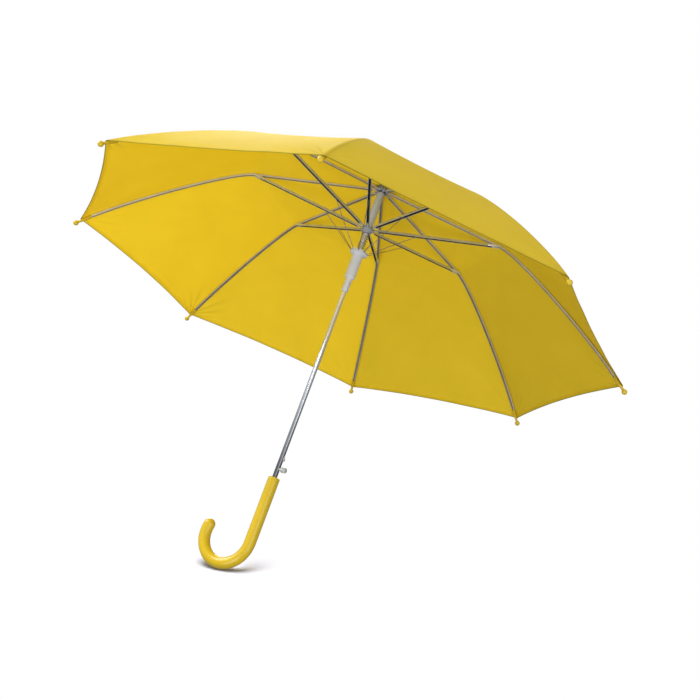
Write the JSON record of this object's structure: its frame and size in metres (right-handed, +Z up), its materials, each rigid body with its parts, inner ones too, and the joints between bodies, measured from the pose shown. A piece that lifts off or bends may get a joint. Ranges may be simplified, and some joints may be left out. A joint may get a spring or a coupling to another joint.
{
  "type": "stick umbrella",
  "caption": "Small open stick umbrella: curved sprung ribs under a scalloped cloth canopy, a sliding runner with links, a crook handle and a release button.",
  "frame": {"origin": "on the shaft's axis at the middle of the straight part of the grip", "axes": "+Z up along the shaft towards the ferrule, -X towards the side the crook bends to, +X the side of the release button, +Y completes a right-handed frame"},
  "size_m": [0.8042, 0.8042, 0.6668],
  "materials": {
    "shaft_chrome": "bright plated steel tube",
    "yellow_plastic": "smooth glossy moulding, warm yellow",
    "catch_steel": "bare spring steel strip",
    "clear_plastic": "pale translucent moulding",
    "grey_plastic": "satin grey moulding",
    "bright_wire": "drawn bright wire",
    "rib_paint": "dull plated steel channel",
    "stretcher_steel": "plated steel channel and wire",
    "canopy_cloth": "plain woven coated polyester, soft sheen"
  },
  "bodies": {
    "shaft": {"shaft_tube": "shaft_chrome", "crook_handle": "yellow_plastic", "stop_sleeve": "grey_plastic", "top_notch": "grey_plastic", "notch_ring": "bright_wire", "canopy_cap": "yellow_plastic", "ferrule": "yellow_plastic"},
    "rib_1": {"rib_1": "rib_paint", "rib_tip_1": "yellow_plastic", "canopy_1": "canopy_cloth"},
    "stretcher_1": {"stretcher_1": "stretcher_steel"},
    "link_wire_1": {"link_wire_1": "stretcher_steel"},
    "rib_2": {"rib_2": "rib_paint", "rib_tip_2": "yellow_plastic", "canopy_2": "canopy_cloth"},
    "stretcher_2": {"stretcher_2": "stretcher_steel"},
    "link_wire_2": {"link_wire_2": "stretcher_steel"},
    "rib_3": {"rib_3": "rib_paint", "rib_tip_3": "yellow_plastic", "canopy_3": "canopy_cloth"},
    "stretcher_3": {"stretcher_3": "stretcher_steel"},
    "link_wire_3": {"link_wire_3": "stretcher_steel"},
    "rib_4": {"rib_4": "rib_paint", "rib_tip_4": "yellow_plastic", "canopy_4": "canopy_cloth"},
    "stretcher_4": {"stretcher_4": "stretcher_steel"},
    "link_wire_4": {"link_wire_4": "stretcher_steel"},
    "rib_5": {"rib_5": "rib_paint", "rib_tip_5": "yellow_plastic", "canopy_5": "canopy_cloth"},
    "stretcher_5": {"stretcher_5": "stretcher_steel"},
    "link_wire_5": {"link_wire_5": "stretcher_steel"},
    "rib_6": {"rib_6": "rib_paint", "rib_tip_6": "yellow_plastic", "canopy_6": "canopy_cloth"},
    "stretcher_6": {"stretcher_6": "stretcher_steel"},
    "link_wire_6": {"link_wire_6": "stretcher_steel"},
    "rib_7": {"rib_7": "rib_paint", "rib_tip_7": "yellow_plastic", "canopy_7": "canopy_cloth"},
    "stretcher_7": {"stretcher_7": "stretcher_steel"},
    "link_wire_7": {"link_wire_7": "stretcher_steel"},
    "rib_8": {"rib_8": "rib_paint", "rib_tip_8": "yellow_plastic", "canopy_8": "canopy_cloth"},
    "stretcher_8": {"stretcher_8": "stretcher_steel"},
    "link_wire_8": {"link_wire_8": "stretcher_steel"},
    "hub": {"stretcher_hub": "grey_plastic", "hub_ring": "bright_wire", "runner_spring": "bright_wire"},
    "runner": {"runner": "grey_plastic"},
    "catch": {"catch_tooth": "catch_steel", "push_button": "clear_plastic"}
  },
  "joints": [
    {"name": "canopy_fold", "type": "hinge", "parent": "shaft", "child": "rib_1", "pos_m": [0.00647, 0.00268, 0.522], "axis": [-0.3827, 0.9239, 0], "range_deg": [0, 63.5], "stiffness_Nm_per_rad": 1, "springref_deg": -143.24, "deforming": ["canopy_1"]},
    {"name": "stretcher_1_pivot", "type": "hinge", "parent": "rib_1", "child": "stretcher_1", "pos_m": [0.18199, 0.07538, 0.48799], "axis": [-0.3827, 0.9239, 0], "range_deg": [-127.1, 0.1]},
    {"name": "link_wire_1_pivot", "type": "hinge", "parent": "stretcher_1", "child": "link_wire_1", "pos_m": [0.06849, 0.02837, 0.46488], "axis": [-0.3827, 0.9239, 0], "range_deg": [-0.1, 24.29]},
    {"name": "rib_2_fold", "type": "hinge", "parent": "shaft", "child": "rib_2", "pos_m": [0.00268, 0.00647, 0.522], "axis": [-0.9239, 0.3827, 0], "range_deg": [-0.05, 63.55], "deforming": ["canopy_2"]},
    {"name": "stretcher_2_pivot", "type": "hinge", "parent": "rib_2", "child": "stretcher_2", "pos_m": [0.07538, 0.18199, 0.48799], "axis": [-0.9239, 0.3827, 0], "range_deg": [-127.1, 0.1]},
    {"name": "link_wire_2_pivot", "type": "hinge", "parent": "stretcher_2", "child": "link_wire_2", "pos_m": [0.02837, 0.06849, 0.46488], "axis": [-0.9239, 0.3827, 0], "range_deg": [-0.1, 24.29]},
    {"name": "rib_3_fold", "type": "hinge", "parent": "shaft", "child": "rib_3", "pos_m": [-0.00268, 0.00647, 0.522], "axis": [-0.9239, -0.3827, 0], "range_deg": [-0.05, 63.55], "deforming": ["canopy_3"]},
    {"name": "stretcher_3_pivot", "type": "hinge", "parent": "rib_3", "child": "stretcher_3", "pos_m": [-0.07538, 0.18199, 0.48799], "axis": [-0.9239, -0.3827, 0], "range_deg": [-127.1, 0.1]},
    {"name": "link_wire_3_pivot", "type": "hinge", "parent": "stretcher_3", "child": "link_wire_3", "pos_m": [-0.02837, 0.06849, 0.46488], "axis": [-0.9239, -0.3827, 0], "range_deg": [-0.1, 24.29]},
    {"name": "rib_4_fold", "type": "hinge", "parent": "shaft", "child": "rib_4", "pos_m": [-0.00647, 0.00268, 0.522], "axis": [-0.3827, -0.9239, 0], "range_deg": [-0.05, 63.55], "deforming": ["canopy_4"]},
    {"name": "stretcher_4_pivot", "type": "hinge", "parent": "rib_4", "child": "stretcher_4", "pos_m": [-0.18199, 0.07538, 0.48799], "axis": [-0.3827, -0.9239, 0], "range_deg": [-127.1, 0.1]},
    {"name": "link_wire_4_pivot", "type": "hinge", "parent": "stretcher_4", "child": "link_wire_4", "pos_m": [-0.06849, 0.02837, 0.46488], "axis": [-0.3827, -0.9239, 0], "range_deg": [-0.1, 24.29]},
    {"name": "rib_5_fold", "type": "hinge", "parent": "shaft", "child": "rib_5", "pos_m": [-0.00647, -0.00268, 0.522], "axis": [0.3827, -0.9239, 0], "range_deg": [-0.05, 63.55], "deforming": ["canopy_5"]},
    {"name": "stretcher_5_pivot", "type": "hinge", "parent": "rib_5", "child": "stretcher_5", "pos_m": [-0.18199, -0.07538, 0.48799], "axis": [0.3827, -0.9239, 0], "range_deg": [-127.1, 0.1]},
    {"name": "link_wire_5_pivot", "type": "hinge", "parent": "stretcher_5", "child": "link_wire_5", "pos_m": [-0.06849, -0.02837, 0.46488], "axis": [0.3827, -0.9239, 0], "range_deg": [-0.1, 24.29]},
    {"name": "rib_6_fold", "type": "hinge", "parent": "shaft", "child": "rib_6", "pos_m": [-0.00268, -0.00647, 0.522], "axis": [0.9239, -0.3827, 0], "range_deg": [-0.05, 63.55], "deforming": ["canopy_6"]},
    {"name": "stretcher_6_pivot", "type": "hinge", "parent": "rib_6", "child": "stretcher_6", "pos_m": [-0.07538, -0.18199, 0.48799], "axis": [0.9239, -0.3827, 0], "range_deg": [-127.1, 0.1]},
    {"name": "link_wire_6_pivot", "type": "hinge", "parent": "stretcher_6", "child": "link_wire_6", "pos_m": [-0.02837, -0.06849, 0.46488], "axis": [0.9239, -0.3827, 0], "range_deg": [-0.1, 24.29]},
    {"name": "rib_7_fold", "type": "hinge", "parent": "shaft", "child": "rib_7", "pos_m": [0.00268, -0.00647, 0.522], "axis": [0.9239, 0.3827, 0], "range_deg": [-0.05, 63.55], "deforming": ["canopy_7"]},
    {"name": "stretcher_7_pivot", "type": "hinge", "parent": "rib_7", "child": "stretcher_7", "pos_m": [0.07538, -0.18199, 0.48799], "axis": [0.9239, 0.3827, 0], "range_deg": [-127.1, 0.1]},
    {"name": "link_wire_7_pivot", "type": "hinge", "parent": "stretcher_7", "child": "link_wire_7", "pos_m": [0.02837, -0.06849, 0.46488], "axis": [0.9239, 0.3827, 0], "range_deg": [-0.1, 24.29]},
    {"name": "rib_8_fold", "type": "hinge", "parent": "shaft", "child": "rib_8", "pos_m": [0.00647, -0.00268, 0.522], "axis": [0.3827, 0.9239, 0], "range_deg": [-0.05, 63.55], "deforming": ["canopy_8"]},
    {"name": "stretcher_8_pivot", "type": "hinge", "parent": "rib_8", "child": "stretcher_8", "pos_m": [0.18199, -0.07538, 0.48799], "axis": [0.3827, 0.9239, 0], "range_deg": [-127.1, 0.1]},
    {"name": "link_wire_8_pivot", "type": "hinge", "parent": "stretcher_8", "child": "link_wire_8", "pos_m": [0.06849, -0.02837, 0.46488], "axis": [0.3827, 0.9239, 0], "range_deg": [-0.1, 24.29]},
    {"name": "hub_level", "type": "hinge", "parent": "stretcher_1", "child": "hub", "pos_m": [0.00647, 0.00268, 0.45398], "axis": [-0.3827, 0.9239, 0], "range_deg": [-0.05, 63.55]},
    {"name": "runner_slide", "type": "slide", "parent": "hub", "child": "runner", "axis": [0, 0, 1], "range_m": [-0.0001, 0.02652], "deforming": ["runner_spring"]},
    {"name": "release_button", "type": "slide", "parent": "shaft", "child": "catch", "axis": [-1, 0, 0], "range_m": [0, 0.0025], "stiffness_N_per_m": 300}
  ],
  "couplings": [
    {"joint": "stretcher_1_pivot", "follows": "canopy_fold", "ratio": -2},
    {"joint": "link_wire_1_pivot", "follows": "canopy_fold", "ratio": 0.38101},
    {"joint": "rib_2_fold", "follows": "canopy_fold", "ratio": 1},
    {"joint": "stretcher_2_pivot", "follows": "canopy_fold", "ratio": -2},
    {"joint": "link_wire_2_pivot", "follows": "canopy_fold", "ratio": 0.38101},
    {"joint": "rib_3_fold", "follows": "canopy_fold", "ratio": 1},
    {"joint": "stretcher_3_pivot", "follows": "canopy_fold", "ratio": -2},
    {"joint": "link_wire_3_pivot", "follows": "canopy_fold", "ratio": 0.38101},
    {"joint": "rib_4_fold", "follows": "canopy_fold", "ratio": 1},
    {"joint": "stretcher_4_pivot", "follows": "canopy_fold", "ratio": -2},
    {"joint": "link_wire_4_pivot", "follows": "canopy_fold", "ratio": 0.38101},
    {"joint": "rib_5_fold", "follows": "canopy_fold", "ratio": 1},
    {"joint": "stretcher_5_pivot", "follows": "canopy_fold", "ratio": -2},
    {"joint": "link_wire_5_pivot", "follows": "canopy_fold", "ratio": 0.38101},
    {"joint": "rib_6_fold", "follows": "canopy_fold", "ratio": 1},
    {"joint": "stretcher_6_pivot", "follows": "canopy_fold", "ratio": -2},
    {"joint": "link_wire_6_pivot", "follows": "canopy_fold", "ratio": 0.38101},
    {"joint": "rib_7_fold", "follows": "canopy_fold", "ratio": 1},
    {"joint": "stretcher_7_pivot", "follows": "canopy_fold", "ratio": -2},
    {"joint": "link_wire_7_pivot", "follows": "canopy_fold", "ratio": 0.38101},
    {"joint": "rib_8_fold", "follows": "canopy_fold", "ratio": 1},
    {"joint": "stretcher_8_pivot", "follows": "canopy_fold", "ratio": -2},
    {"joint": "link_wire_8_pivot", "follows": "canopy_fold", "ratio": 0.38101},
    {"joint": "hub_level", "follows": "canopy_fold", "ratio": 1},
    {"joint": "runner_slide", "follows": "canopy_fold", "m_per_rad": 0.023843}
  ]
}
